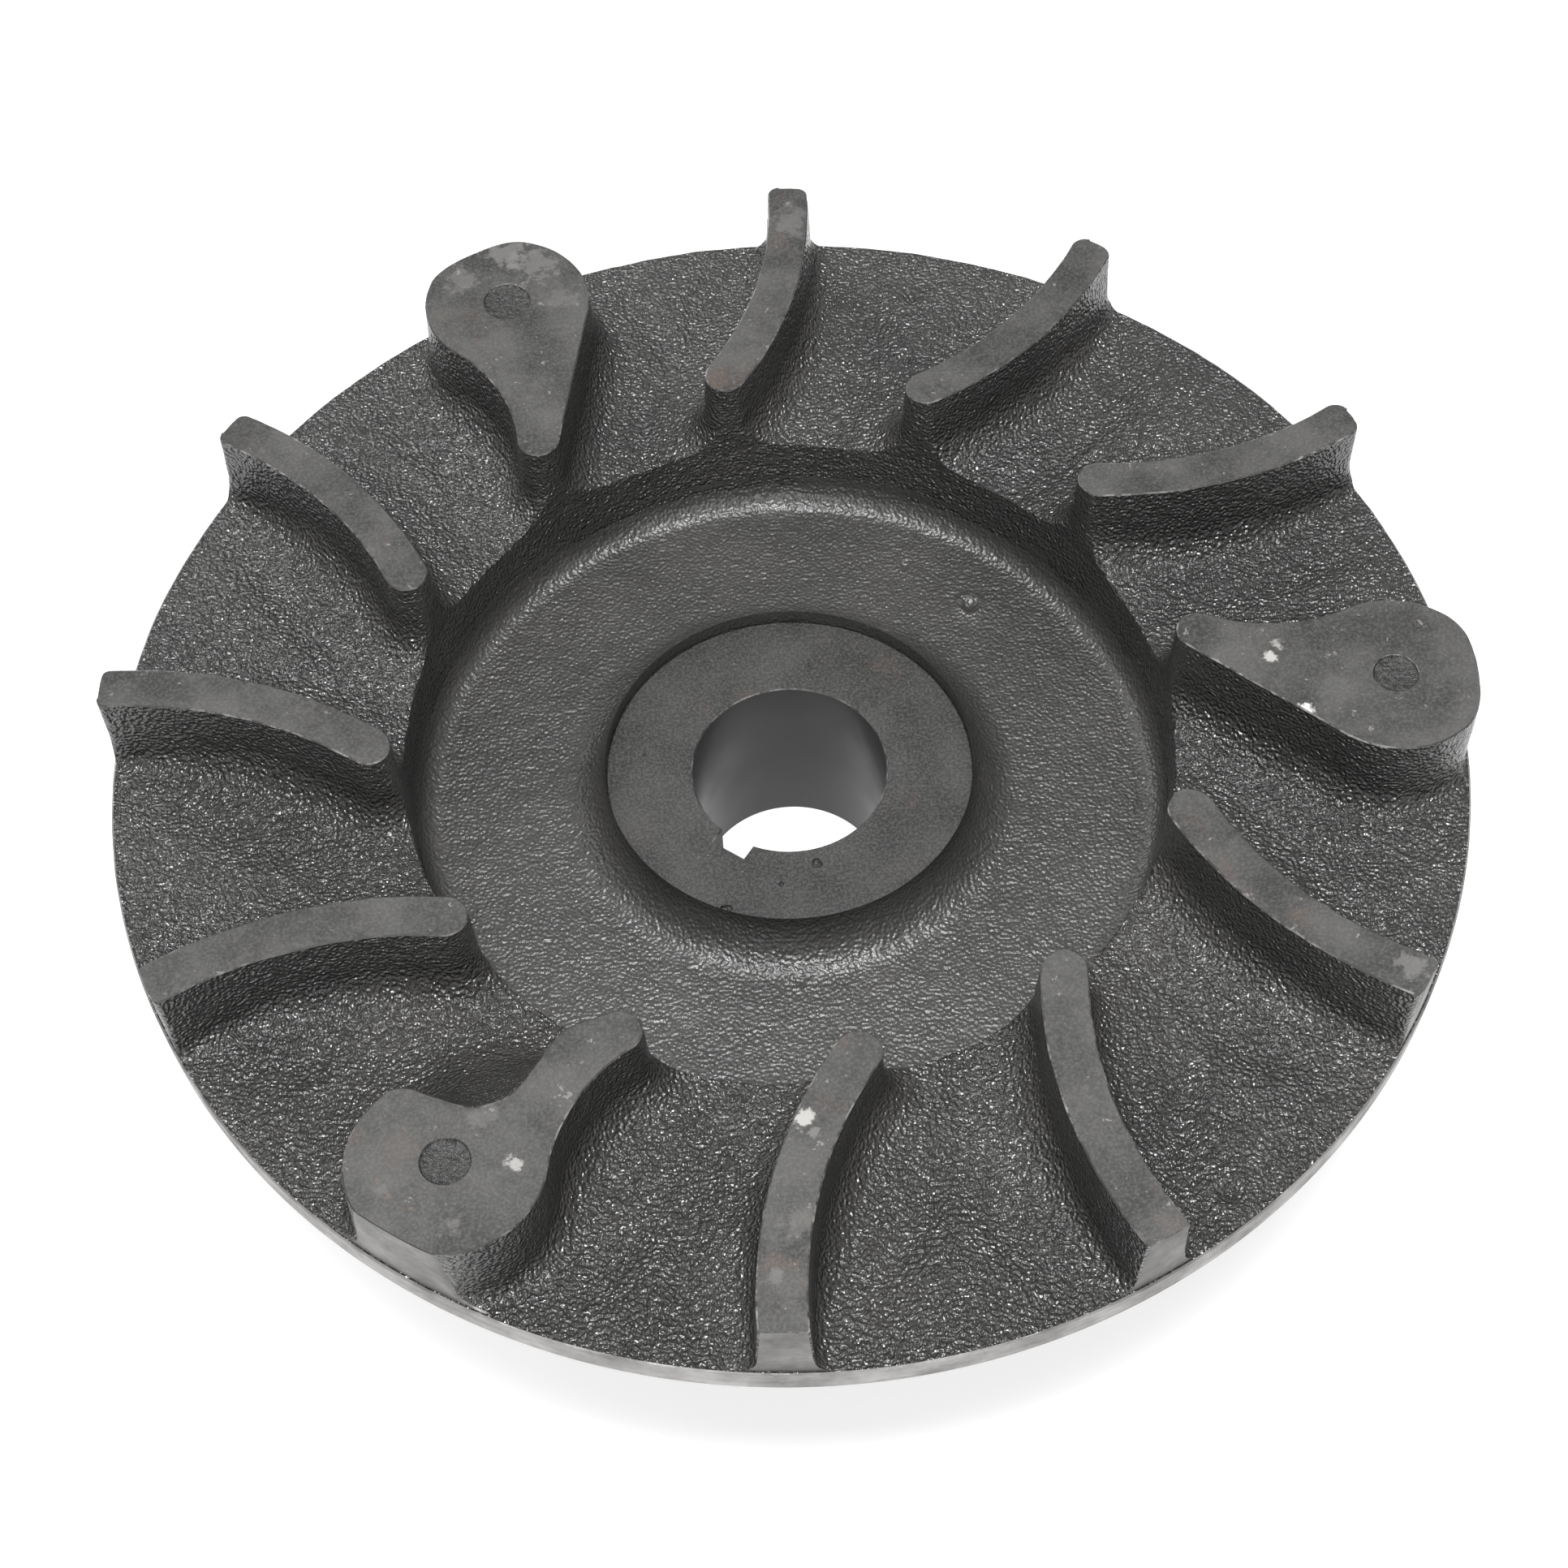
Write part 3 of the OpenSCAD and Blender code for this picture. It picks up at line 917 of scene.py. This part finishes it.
def wall_r(z):
    """Radius of the recess wall at a height."""
    return RECESS_R + (DECK_IN_R - RECESS_R) * (z - WEB_TOP) / (deck_z(DECK_IN_R) - WEB_TOP)


def push(points, rings, direction, strength):
    """Moves some rings of a revolved section along their own normals by the cast relief."""
    for i, (nr, nz), s in zip(rings, direction, strength):
        p = points[i]
        relief = cast_relief(p, s)
        r = np.hypot(p[:, 0], p[:, 1])
        p[:, 0] += relief * nr * p[:, 0] / r
        p[:, 1] += relief * nr * p[:, 1] / r
        p[:, 2] += relief * nz
    return points


def section_normals(rings):
    """Outward normal of each ring of a closed section, from its neighbours."""
    q = np.array([[r, z] for r, z, _ in rings])
    t = np.roll(q, -1, 0) - np.roll(q, 1, 0)
    area = np.sum(q[:, 0] * np.roll(q[:, 1], -1) - np.roll(q[:, 0], -1) * q[:, 1])
    n = np.column_stack([t[:, 1], -t[:, 0]]) * np.sign(area)
    return n / np.maximum(np.hypot(*n.T), 1e-9)[:, None]


SEGMENTS = 960
WEB_SEGMENTS = 600
WEB_DENTS = [((25.7, 28.6), 1.0, 0.55), ((-13.0, 33.0), 0.5, 0.2), ((0.5, -29.5), 0.7, 0.3),
             ((17.0, 36.0), 0.6, 0.25), ((-33.0, -10.0), 0.5, 0.2)]
DECK_DENTS = [((48.0, -66.0), 1.4, 0.5), ((20.0, 74.5), 0.8, 0.4), ((-14.0, -76.0), 0.8, 0.35),
              ((58.0, -52.0), 0.6, 0.3), ((62.0, 44.0), 0.6, 0.3), ((-70.0, -30.0), 0.7, 0.3)]


def dents(xy, places):
    """Height change from some small craters with a raised lip."""
    out = np.zeros(xy.shape[:-1])
    for centre, radius, depth in places:
        d = np.hypot(xy[..., 0] - centre[0], xy[..., 1] - centre[1]) / radius
        out += depth * (0.45 * np.exp(-((d - 1.5) / 0.5) ** 2) - np.exp(-d ** 2))
    return out


def lay_skin(points, rings):
    """Raises or lowers some rings of a revolved section to the cast skin of the deck and rim."""
    for i in rings:
        xy = points[i, :, :2]
        r = np.hypot(points[i, :, 0], points[i, :, 1])
        points[i, :, 2] += skin_z(xy) - deck_z(r) + dents(xy, DECK_DENTS)


def make_deck():
    """The dished deck between the recess and the rim, with its underside."""
    edge = 0.3
    rings = [(wall_r(z), z, 0) for z in between(RING_TOP, deck_z(DECK_IN_R) - edge, 0.55)]
    n_wall = len(rings)
    rings += [(DECK_IN_R, deck_z(DECK_IN_R) - edge, 0)]
    top_from = len(rings)
    rings += [(DECK_IN_R + 0.3 * edge, deck_z(DECK_IN_R) - 0.12 * edge, 0)]
    rings += [(r, deck_z(r), 0) for r in between(DECK_IN_R + edge, RIM_IN_R, 0.5)]
    rings += [(RIM_IN_R, deck_z(RIM_IN_R), 0)]
    top_to = len(rings)
    rings += [(RIM_IN_R, RIM_LOW, 0)]
    under_from = len(rings)
    steps = between(RIM_IN_R, RING_OUT_R, 1.2)
    slope = (RIM_LOW - RING_TOP) / (RIM_IN_R - RING_OUT_R)
    rings += [(r, RING_TOP + slope * (r - RING_OUT_R), 0) for r in steps[1:]]
    rings += [(RING_OUT_R, RING_TOP, 0)]
    normals = section_normals(rings)

    def wave(points):
        lay_skin(points, range(top_from, top_to))
        walls = list(range(0, n_wall + 1)) + list(range(under_from, len(rings)))
        fade = [min(1.0, 0.25 * i) for i in range(n_wall + 1)]
        return push(points, walls, normals[walls], fade + [1.0] * (len(rings) - under_from))

    revolved("cast_deck", rings, SEGMENTS, [CAST], "cast_black_iron", "deck", wave)


def make_rim():
    """The turned rim: black cast skin on top, bare metal on the edge."""
    bevel, low_bevel = 0.22, 0.4
    cast, bare = range(2)
    rings = [(RIM_IN_R, RIM_LOW, cast)]
    top_from = len(rings)
    rings += [(r, deck_z(r), cast) for r in between(RIM_IN_R, RIM_R - bevel, 0.5)]
    rings += [(RIM_R - bevel, deck_z(RIM_R - bevel), bare)]
    top_to = len(rings)
    rings += [(RIM_R, z, bare) for z in between(RIM_Z - bevel, RIM_LOW + low_bevel, 0.6)]
    rings += [(RIM_R, RIM_LOW + low_bevel, bare), (RIM_R - low_bevel, RIM_LOW, cast)]

    def wave(points):
        lay_skin(points, range(top_from, top_to))
        cut = points[top_to - 1, :, 2] - bevel * (0.8 + 0.5 * noise(points[top_to - 1], 2.5, 6))
        points[top_to, :, 2] = cut
        return points

    revolved("turned_rim", rings, SEGMENTS, [CAST, BARE], "bare_turned_iron", "rim", wave)


def make_web():
    """The recess floor with its fillets to the hub and to the recess wall."""
    lean = math.degrees(math.atan2(DECK_IN_R - RECESS_R, deck_z(DECK_IN_R) - WEB_TOP))
    floor_from = HUB_R + HUB_FILLET
    floor_to = RECESS_R - WALL_FILLET
    rings = [(HUB_R, WEB_LOW, 0), (HUB_R, WEB_TOP - 2, 0)]
    cast_from = len(rings)
    rings += arc_rings(floor_from, WEB_TOP + HUB_FILLET, HUB_FILLET, 180, 270, 12)
    rings += [(r, WEB_TOP, 0) for r in between(floor_from, floor_to, 0.5)]
    rings += arc_rings(floor_to, WEB_TOP + WALL_FILLET, WALL_FILLET, 270, 360 - lean, 12)
    rings += [(wall_r(z), z, 0) for z in between(WEB_TOP + WALL_FILLET, RING_TOP, 0.5)]
    rings += [(wall_r(RING_TOP), RING_TOP, 0)]
    cast_to = len(rings)
    rings += [(RECESS_R, WEB_LOW, 0)]
    under_from = len(rings)
    rings += [(r, WEB_LOW, 0) for r in between(RECESS_R, HUB_R, 1.0)[1:]]
    normals = section_normals(rings)

    def wave(points):
        ids = list(range(cast_from, cast_to)) + list(range(under_from, len(rings)))
        fade = [min(0.75, 0.2 * (i - cast_from)) for i in range(cast_from, cast_to)]
        push(points, ids, normals[ids], fade + [0.7] * (len(rings) - under_from))
        floor = points[cast_from:cast_to]
        floor[..., 2] += dents(floor[..., :2], WEB_DENTS)
        return points

    revolved("cast_web", rings, WEB_SEGMENTS, [CAST_WEB], "cast_black_iron", "web", wave)


def make_ring():
    """The ring under the deck that carries the magnet: cast outside, turned at its mouth and inside."""
    bevel = 0.5
    # Its bevels take the edge material: wear and a painted highlight.
    cast, turned, wear_and_highlight = range(3)
    draft = (RING_OUT_R - RING_MOUTH_R) / (RING_TOP - RING_LOW)
    out_r = RING_MOUTH_R
    slope = math.atan2(RIM_LOW - RING_TOP, RIM_IN_R - RING_OUT_R)
    fillet = 5.0
    rings = [(RING_IN_R, z, turned) for z in between(WEB_LOW, RING_LOW + bevel, 1.0)]
    rings += [(RING_IN_R, RING_LOW + bevel, wear_and_highlight), (RING_IN_R + bevel, RING_LOW, turned)]
    rings += [(r, RING_LOW, turned) for r in between(RING_IN_R + bevel, out_r - bevel, 1.0)[1:]]
    rings += [(out_r - bevel, RING_LOW, wear_and_highlight)]
    cast_from = len(rings)
    start = RING_TOP - fillet * (1 - math.sin(slope))
    rings += [(out_r + draft * (z - RING_LOW), z, cast) for z in between(RING_LOW + bevel, start, 0.8)]
    centre = (out_r + draft * (start - RING_LOW) + fillet, start)
    rings += arc_rings(*centre, fillet, 180, 90 + math.degrees(slope), 10)
    end = math.radians(90) + slope
    rings += [(centre[0] + fillet * math.cos(end), centre[1] + fillet * math.sin(end), cast)]
    cast_to = len(rings)
    rings += [(rings[-1][0], rings[-1][1] + 0.8, cast), (RING_OUT_R, RING_TOP, cast)]
    rings += [(wall_r(RING_TOP), RING_TOP, cast), (RECESS_R, WEB_TOP, cast), (RECESS_R, WEB_LOW, cast)]
    normals = section_normals(rings)

    def wave(points):
        ids = list(range(cast_from + 1, cast_to))
        return push(points, ids, normals[ids], [1.0] * len(ids))

    revolved("cast_magnet_ring", rings, SEGMENTS // 2, [CAST, TURNED, EDGE_WEAR_AND_HIGHLIGHT], "cast_black_iron",
             "magnet_ring", wave)


def bore_loop(d):
    """The bore and its keyway in plan, d outside their true surface."""
    half, floor, r = KEY_W / 2 + d, KEY_FLOOR + d, BORE_R + d
    start = math.asin(half / r)
    a = np.linspace(start, 2 * math.pi - start, 180)
    side = np.linspace(r * math.cos(start), floor, 5)[1:]
    low_side = np.column_stack([side, np.full(4, -half)])
    high_side = np.column_stack([side, np.full(4, half)])
    floor_points = np.column_stack([np.full(5, floor), np.linspace(-half, half, 7)[1:-1]])
    loop = np.vstack([r * unit(a), low_side, floor_points, high_side[::-1]])
    c, s = math.cos(KEY_ANGLE), math.sin(KEY_ANGLE)
    return loop @ np.array([[c, s], [-s, c]])


HUB_PITS = [((3.0, -14.6), 0.75, 0.5), ((-8.7, -20.9), 0.7, 0.5), ((-1.6, -17.6), 0.35, 0.25),
            ((12.5, 17.0), 0.3, 0.2), ((-19.0, 3.0), 0.3, 0.2)]


def flat(z):
    return lambda r: np.full_like(r, z)


def make_hub():
    """The hub with its turned faces, its bore and its keyway."""
    chamfer, mouth = 0.25, 0.16
    count = 240
    a = np.arange(count) * 2 * math.pi / count
    outer_rows = [(HUB_R - chamfer, HUB_TOP), (HUB_R, HUB_TOP - chamfer)]
    outer_rows += [(HUB_R, z) for z in np.linspace(WEB_TOP, WEB_LOW, 3)]
    outer_rows += [(HUB_R, z) for z in between(WEB_LOW - 1, chamfer, 1.5)]
    outer_rows += [(HUB_R, chamfer), (HUB_R - chamfer, 0)]
    outer = np.array([np.column_stack([r * unit(a), np.full(count, z)]) for r, z in outer_rows])
    bore_rows = [(mouth, HUB_TOP), (0.0, HUB_TOP - mouth)]
    bore_rows += [(0.0, z) for z in np.linspace(HUB_TOP - 1.5, 1.5, 14)]
    bore_rows += [(0.0, mouth), (mouth, 0.0)]
    bore = [bore_loop(d) for d, _ in bore_rows]
    bore = np.array([np.column_stack([p, np.full(len(p), z)]) for p, (_, z) in zip(bore, bore_rows)])
    n_bore = bore.shape[1]
    verts = np.vstack([outer.reshape(-1, 3), bore.reshape(-1, 3)])
    offset = outer.shape[0] * count
    outside = grid_faces(outer.shape[0], count)
    inside_wall = grid_faces(bore.shape[0], n_bore, offset)
    faces = outside + inside_wall
    kinds = [TOP] * count + [SKIN] * (len(outside) - 2 * count) + [TOP] * count
    # The bore's mouths take the edge material: wear and a painted highlight.
    kinds += [WORN_AND_HIGHLIT] * n_bore + [CUT] * (len(inside_wall) - 2 * n_bore) + [WORN_AND_HIGHLIT] * n_bore
    for row, z, pits in ((0, HUB_TOP, HUB_PITS), (-1, 0.0, ())):
        hollows = [dish(np.array(c), r, flat(z), d, 0.35) for c, r, d in pits]
        first = (row % len(outer)) * count
        first_in_bore = offset + (row % len(bore)) * n_bore
        ids = np.concatenate([first + np.arange(count), first_in_bore + np.arange(n_bore)])
        loops = [outer[row][:, :2], bore[row][:, :2]]
        extra, face, face_kinds = cover(loops, ids, flat(z), hollows, len(verts), 2.5)
        faces += face
        kinds += face_kinds
        verts = np.vstack([verts, extra])
    obj = mesh_object("turned_hub", verts, faces, [CAST, TURNED_HUB, BORE, EDGE_WEAR_AND_HIGHLIGHT, SPOT], kinds)
    face_outwards(obj)
    finish_piece(obj, "turned_black_iron", "hub")


# ---------------------------------------------------------------- ignition magnet set

def sector(r0, r1, z0, z1, a0, a1, bevel):
    """Vertices and faces of a block between two radii, heights and angles, with bevelled edges."""
    steps = max(3, int(math.degrees(a1 - a0) / 1.5))
    turn = bevel / r1
    stations = [(a0, bevel), (a0 + turn, 0.0)]
    stations += [(a, 0.0) for a in np.linspace(a0 + turn, a1 - turn, steps)[1:-1]]
    stations += [(a1 - turn, 0.0), (a1, bevel)]
    rows = []
    for a, cut in stations:
        lo, hi, down, up = r0 + cut, r1 - cut, z0 + cut, z1 - cut
        b = bevel - 0.5 * cut
        section = [(lo + b, down), (hi - b, down), (hi, down + b), (hi, up - b),
                   (hi - b, up), (lo + b, up), (lo, up - b), (lo, down + b)]
        rows.append([(r * math.cos(a), r * math.sin(a), z) for r, z in section])
    verts = np.array(rows).reshape(-1, 3)
    faces = grid_faces(len(rows), 8)
    faces += [list(range(8)), list(range(len(verts) - 8, len(verts)))]
    return verts, faces


def prism(loop, z0, z1, bevel):
    """Vertices and faces of a plan outline raised from z0 to z1, with its z0 edge bevelled."""
    middle = loop.mean(0)
    inner = loop + (middle - loop) * (bevel / np.hypot(*(loop - middle).T))[:, None]
    levels = ((inner, z0), (loop, z0 + bevel), (loop, z1))
    rows = [np.column_stack([p, np.full(len(p), z)]) for p, z in levels]
    n = len(loop)
    faces = grid_faces(3, n) + [list(range(n)), list(range(2 * n, 3 * n))]
    return np.vstack(rows), faces


def joined(name, parts, mat, slot, node):
    """One piece from several closed parts."""
    verts, faces, total = [], [], 0
    for v, f in parts:
        verts.append(v)
        faces += [[total + i for i in face] for face in f]
        total += len(v)
    obj = mesh_object(name, np.vstack(verts), faces, [mat], [0] * len(faces))
    face_outwards(obj)
    finish_piece(obj, slot, node)


def make_magnet_set():
    """The magnet, its laminated pole shoes and their slotted screws."""
    r0, r1 = RING_IN_R - SHOE_W, RING_IN_R
    z0 = WEB_LOW - SHOE_LEN
    start, end = math.radians(90 - MAGNET_SPAN / 2), math.radians(90 + MAGNET_SPAN / 2)
    gap = 0.002
    block = sector(r0 + 0.2, r1, z0 + 0.1, WEB_LOW, start + gap, end - gap, 0.35)
    joined("ground_magnet", [block], MAGNET, "magnet_alloy", "magnet")
    span = math.radians(SHOE_SPAN)
    thick = SHOE_LEN / SHEETS
    shoes = (("shoe_low_side", "pole_shoe_1", start - span), ("shoe_high_side", "pole_shoe_2", end))
    for name, node, a0 in shoes:
        sheets = [sector(r0, r1, z0 + i * thick, z0 + (i + 1) * thick, a0, a0 + span, 0.09)
                  for i in range(SHEETS)]
        joined(name, sheets, POLE, "pole_steel", node)
    parts = []
    half = math.asin(SLOT_W / 2 / SCREW_HEAD_R)
    for a in (start - span / 2, end + span / 2):
        centre = (RING_IN_R - SCREW_INSET) * unit(a)
        head = centre + SCREW_HEAD_R * unit(np.linspace(0, 2 * math.pi, 48, endpoint=False))
        shank = centre + SCREW_R * unit(np.linspace(0, 2 * math.pi, 32, endpoint=False))
        parts += [prism(head, z0 - SLOT_DEPTH, z0, 0.02), prism(shank, z0, WEB_LOW + SCREW_GRIP, 0.3)]
        for side in (0, math.pi):
            arc = np.linspace(side + half, side + math.pi - half, 30)
            lug = centre + SCREW_HEAD_R * unit(arc + a + 0.6)
            parts.append(prism(lug, z0 - SCREW_HEAD_H, z0 - 1.1, 0.35))
    joined("slotted_screws", parts, SCREW, "screw_steel", "magnet_screws")


for k in range(VANE_COUNT):
    if k % BOSS_EVERY != BOSS_EVERY - 1:
        make_vane(k)
for b in range(VANE_COUNT // BOSS_EVERY):
    make_boss(b)
make_deck()
make_rim()
make_web()
make_ring()
make_hub()
make_magnet_set()


# ---------------------------------------------------------------- stage, light and camera

def make_floor():
    """A white table. It glows a little, so that shadows on it stay light."""
    mesh = bpy.data.meshes.new("floor")
    side = 8.0
    corners = [(-side, -side, 0), (side, -side, 0), (side, side, 0), (-side, side, 0)]
    mesh.from_pydata(corners, [], [(0, 1, 2, 3)])
    floor = bpy.data.objects.new("floor", mesh)
    bpy.context.scene.collection.objects.link(floor)
    m, n = material("pale_floor")
    p = n.surface((0.5, 0.5, 0.5), 0.8, specular=0.2)
    p.inputs["Emission Color"].default_value = (1.0, 1.0, 1.0, 1.0)
    p.inputs["Emission Strength"].default_value = 0.66
    mesh.materials.append(m)


WHEEL_MIDDLE = (0, 0, 0.03)


def area_light(name, location, size, power):
    """A softbox at a place in metres, turned to the wheel."""
    data = bpy.data.lights.new(name, "AREA")
    data.shape = "RECTANGLE"
    data.size, data.size_y = size
    data.energy = power
    obj = bpy.data.objects.new(name, data)
    bpy.context.scene.collection.objects.link(obj)
    obj.location = location
    obj.rotation_euler = (Vector(WHEEL_MIDDLE) - Vector(location)).to_track_quat("-Z", "Y").to_euler()


def make_light():
    """A dim room that is brighter overhead, and softboxes above, in front and behind to the left."""
    world = bpy.data.worlds.new("studio")
    world.use_nodes = True
    tree = world.node_tree
    where = tree.nodes.new("ShaderNodeTexCoord").outputs["Generated"]
    toward = tree.nodes.new("ShaderNodeVectorMath")
    toward.operation = "DOT_PRODUCT"
    tree.links.new(where, toward.inputs[0])
    toward.inputs[1].default_value = (0.0, 0.26, 0.966)
    level = tree.nodes.new("ShaderNodeMapRange")
    level.interpolation_type = "SMOOTHSTEP"
    tree.links.new(toward.outputs["Value"], level.inputs["Value"])
    for name, value in (("From Min", 0.1), ("From Max", 0.8), ("To Min", 0.25), ("To Max", 0.6)):
        level.inputs[name].default_value = value
    tree.links.new(level.outputs["Result"], tree.nodes["Background"].inputs["Strength"])
    tree.nodes["Background"].inputs["Color"].default_value = (1, 1, 1, 1)
    bpy.context.scene.world = world
    area_light("back_left_box", (-0.62, 0.62, 0.42), (0.36, 0.26), 2.2)
    area_light("overhead_box", (0.0, -0.13, 0.87), (0.30, 0.24), 9.5)
    area_light("front_box", (0.0, -1.00, 0.38), (0.60, 0.16), 4.5)
    bpy.context.scene.view_settings.view_transform = "Standard"


def make_camera():
    """The camera looks down on the wheel with a slight roll."""
    elevation, roll = math.radians(56.558), 0.0365
    distance, aim_x, aim_y = 322.66, 0.53, 7.22
    back = Vector((0, -math.cos(elevation), math.sin(elevation)))
    up = Vector((0, math.sin(elevation), math.cos(elevation)))
    right = Vector((1, 0, 0))
    x_axis = math.cos(roll) * right - math.sin(roll) * up
    y_axis = math.sin(roll) * right + math.cos(roll) * up
    centre = Vector((0, 0, RIM_Z)) + back * distance - x_axis * aim_x - y_axis * aim_y
    data = bpy.data.cameras.new("camera")
    data.sensor_width = 36
    data.lens = 58.15
    data.clip_start, data.clip_end = 0.01, 20
    obj = bpy.data.objects.new("camera", data)
    bpy.context.scene.collection.objects.link(obj)
    turn = Matrix((x_axis, y_axis, back)).transposed().to_4x4()
    obj.matrix_world = Matrix.Translation(centre * MM) @ turn
    bpy.context.scene.camera = obj


make_floor()
make_light()
make_camera()

bpy.context.view_layer.update()
